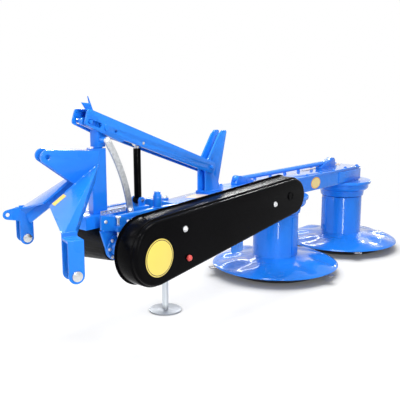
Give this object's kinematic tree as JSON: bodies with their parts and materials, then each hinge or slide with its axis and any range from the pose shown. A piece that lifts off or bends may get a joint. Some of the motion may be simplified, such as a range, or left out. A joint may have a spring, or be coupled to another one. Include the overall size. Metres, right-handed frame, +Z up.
{
  "type": "drum mower",
  "caption": "Rear-mounted belt-driven drum mower with upright drums under a beam, belt guard, swinging headstock, lift boom and parking stand.",
  "frame": {"origin": "on the floor at the middle of the first drum's skid sole", "axes": "+X along the cutter bar towards the outer drum, +Y away from the belt guard's face, +Z up"},
  "size_m": [2.9359, 0.8625, 1.0686],
  "materials": {
    "blue_paint": "gloss azure enamel",
    "black_guard": "gloss black",
    "black_plastic": "satin black",
    "black_paint": "gloss black",
    "galvanised": "galvanised",
    "bright_steel": "bright turned",
    "dish_steel": "worn dark paint",
    "knife_steel": "ground steel"
  },
  "bodies": {
    "mower_bar": {"gear_case": "blue_paint", "case_cover": "blue_paint", "inner_frame": "blue_paint", "hinge_pin": "bright_steel", "upright": "blue_paint", "boom_pin": "bright_steel", "guard_rod": "blue_paint", "guard_cover": "black_guard", "guard_back": "black_guard", "rail_gusset": "blue_paint", "hanger": "blue_paint", "drive_housing": "blue_paint", "pto_shield": "black_plastic", "driven_housing": "blue_paint", "stand_sleeve": "blue_paint", "lock_pin": "galvanised", "latch_tube": "blue_paint", "guard_bracket": "blue_paint", "drum_carrier_1": "blue_paint", "drum_carrier_2": "blue_paint"},
    "post_carrier": {"post_foot": "blue_paint", "ram_pin": "bright_steel", "swing_post": "blue_paint", "guide_pin": "bright_steel", "stay": "galvanised"},
    "headstock": {"pivot_column": "blue_paint", "horn_near": "blue_paint", "horn_far": "blue_paint", "horn_spacer": "blue_paint", "leg_near": "blue_paint", "leg_far": "blue_paint", "bracket_near": "blue_paint", "bracket_far": "blue_paint", "hitch_pin_near": "bright_steel", "hitch_pin_far": "bright_steel"},
    "link_boom": {"boom": "blue_paint", "rod_pin": "bright_steel", "hose_hook": "blue_paint"},
    "lift_barrel": {"barrel": "black_paint"},
    "lift_rod": {"rod": "bright_steel"},
    "first_drum": {"drum_1": "blue_paint", "skirt_1": "blue_paint", "knives_1": "knife_steel"},
    "second_drum": {"drum_2": "blue_paint", "skirt_2": "blue_paint", "knives_2": "knife_steel"},
    "first_dish": {"skid_dish_1": "dish_steel"},
    "second_dish": {"skid_dish_2": "dish_steel"},
    "drive_stub": {"pto_stub": "bright_steel"},
    "parking_stand": {"stand_leg": "galvanised"}
  },
  "joints": [
    {"name": "bar_tilt", "type": "hinge", "parent": "mower_bar", "child": "post_carrier", "pos_m": [-1.352, 0, 0.54], "axis": [0, 1, 0], "range_deg": [0, 7]},
    {"name": "swing", "type": "hinge", "parent": "post_carrier", "child": "headstock", "pos_m": [-1.352, 0, 0.7], "axis": [0, 0, 1], "range_deg": [-70, 20]},
    {"name": "boom_pivot", "type": "hinge", "parent": "mower_bar", "child": "link_boom", "pos_m": [-0.65, 0, 0.7], "axis": [0, 1, 0], "range_deg": [0, 1.71]},
    {"name": "ram_pivot", "type": "hinge", "parent": "post_carrier", "child": "lift_barrel", "pos_m": [-1.124, 0, 0.592], "axis": [0, 1, 0], "range_deg": [-7.05, 0]},
    {"name": "ram_slide", "type": "slide", "parent": "lift_barrel", "child": "lift_rod", "axis": [-0.004, 0, 1], "range_m": [0, 0.0424]},
    {"name": "first_drum_spin", "type": "hinge", "parent": "mower_bar", "child": "first_drum", "pos_m": [0, 0, 0.2], "axis": [0, 0, 1], "continuous": true},
    {"name": "second_drum_spin", "type": "hinge", "parent": "mower_bar", "child": "second_drum", "pos_m": [0.8, 0, 0.2], "axis": [0, 0, 1], "continuous": true},
    {"name": "first_dish_spin", "type": "hinge", "parent": "mower_bar", "child": "first_dish", "pos_m": [0, 0, 0.03], "axis": [0, 0, 1], "continuous": true},
    {"name": "second_dish_spin", "type": "hinge", "parent": "mower_bar", "child": "second_dish", "pos_m": [0.8, 0, 0.03], "axis": [0, 0, 1], "continuous": true},
    {"name": "stub_spin", "type": "hinge", "parent": "mower_bar", "child": "drive_stub", "pos_m": [-1.345, 0, 0.43], "axis": [0, 1, 0], "continuous": true},
    {"name": "stand_slide", "type": "slide", "parent": "mower_bar", "child": "parking_stand", "axis": [0, 0, 1], "range_m": [0, 0.13]}
  ],
  "couplings": [
    {"joint": "boom_pivot", "follows": "bar_tilt", "ratio": 0.23713},
    {"joint": "ram_pivot", "follows": "bar_tilt", "ratio": -0.99333},
    {"joint": "ram_slide", "follows": "bar_tilt", "m_per_rad": 0.3427},
    {"joint": "second_drum_spin", "follows": "first_drum_spin", "ratio": -1},
    {"joint": "stub_spin", "follows": "first_drum_spin", "ratio": 0.3}
  ]
}
